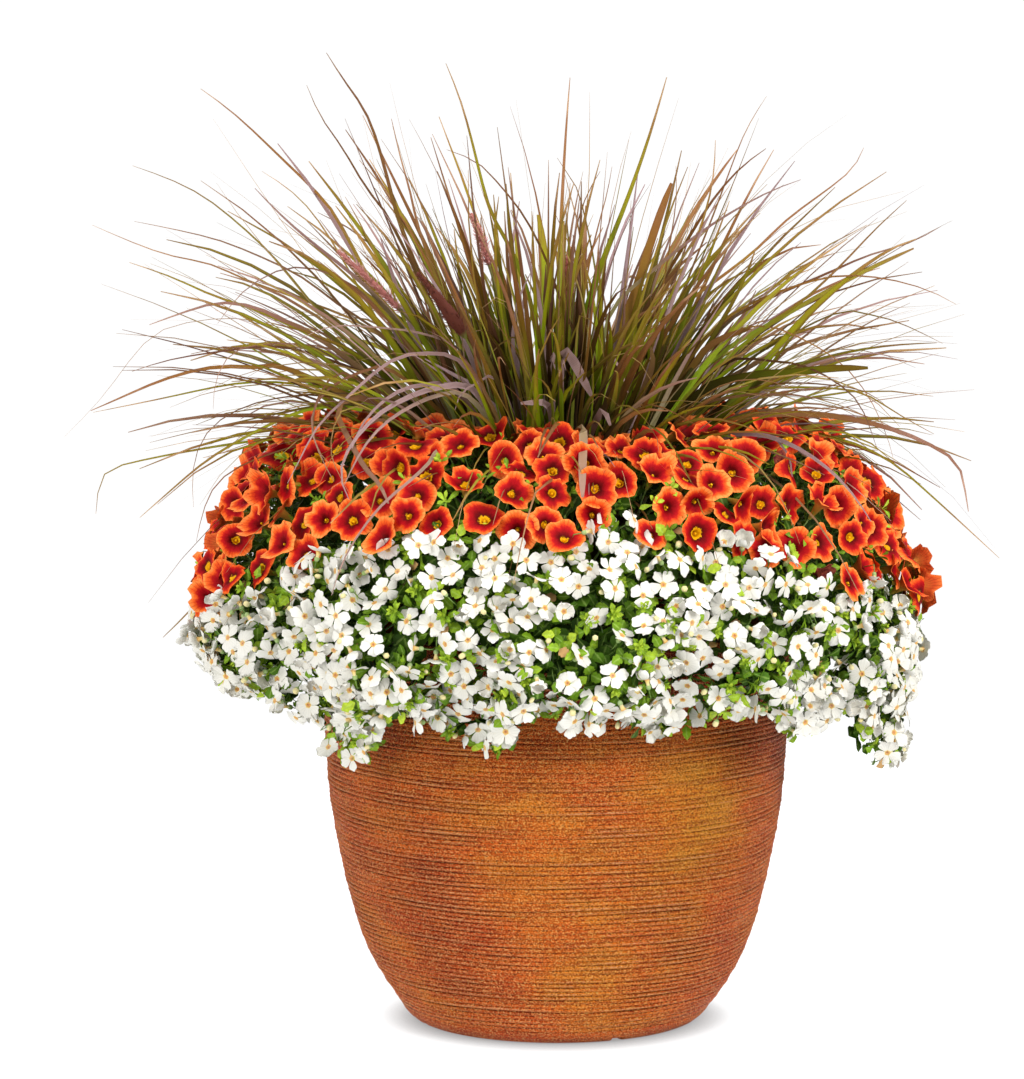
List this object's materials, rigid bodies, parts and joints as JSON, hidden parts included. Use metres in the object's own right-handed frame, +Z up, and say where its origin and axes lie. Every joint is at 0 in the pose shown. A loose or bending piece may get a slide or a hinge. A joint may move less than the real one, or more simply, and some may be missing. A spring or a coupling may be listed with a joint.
{
  "type": "mixed calibrachoa planter",
  "caption": "Deep round combed pot planted with arching fountain grass, a ring of orange calibrachoa and a trailing skirt of white bacopa",
  "frame": {"origin": "centre of the pot's flat base, on the ground", "axes": "+Z up along the pot's axis; -Y is the front of the planting; +X to its right"},
  "size_m": [0.8028, 0.6929, 0.8263],
  "materials": {
    "pot": "matte",
    "potting_mix": "matte",
    "grass_leaf": "satin",
    "seed_head": "matte",
    "stem": "matte",
    "calibrachoa_leaf": "matte",
    "calibrachoa_petal": "matte",
    "bacopa_leaf": "matte",
    "bacopa_petal": "matte"
  },
  "bodies": {
    "root": {"planter": "pot", "potting_mix": "potting_mix", "grass_crown": "grass_leaf", "grass_blade_01": "grass_leaf", "grass_blade_02": "grass_leaf", "grass_blade_03": "grass_leaf", "grass_blade_04": "grass_leaf", "grass_blade_05": "grass_leaf", "grass_blade_06": "grass_leaf", "grass_blade_07": "grass_leaf", "grass_blade_08": "grass_leaf", "grass_blade_09": "grass_leaf", "grass_blade_10": "grass_leaf", "grass_blade_11": "grass_leaf", "grass_blade_12": "grass_leaf", "grass_blade_13": "grass_leaf", "grass_blade_14": "grass_leaf", "grass_blade_15": "grass_leaf", "grass_blade_16": "grass_leaf", "grass_blade_17": "grass_leaf", "grass_blade_18": "grass_leaf", "grass_blade_19": "grass_leaf", "grass_blade_20": "grass_leaf", "grass_blade_21": "grass_leaf", "grass_blade_22": "grass_leaf", "grass_blade_23": "grass_leaf", "grass_blade_24": "grass_leaf", "grass_blade_25": "grass_leaf", "grass_blade_26": "grass_leaf", "grass_blade_27": "grass_leaf", "grass_blade_28": "grass_leaf", "grass_seed_head_1": "seed_head", "grass_seed_head_2": "seed_head", "grass_seed_head_3": "seed_head", "grass_seed_head_4": "seed_head", "calibrachoa_1_stems": "stem", "calibrachoa_1_leaves": "calibrachoa_leaf", "calibrachoa_1_flowers": "calibrachoa_petal", "calibrachoa_2_stems": "stem", "calibrachoa_2_leaves": "calibrachoa_leaf", "calibrachoa_2_flowers": "calibrachoa_petal", "calibrachoa_3_stems": "stem", "calibrachoa_3_leaves": "calibrachoa_leaf", "calibrachoa_3_flowers": "calibrachoa_petal", "bacopa_1_stems": "stem", "bacopa_1_leaves": "bacopa_leaf", "bacopa_1_flowers": "bacopa_petal", "bacopa_2_stems": "stem", "bacopa_2_leaves": "bacopa_leaf", "bacopa_2_flowers": "bacopa_petal", "bacopa_3_stems": "stem", "bacopa_3_leaves": "bacopa_leaf", "bacopa_3_flowers": "bacopa_petal"}
  },
  "joints": []
}
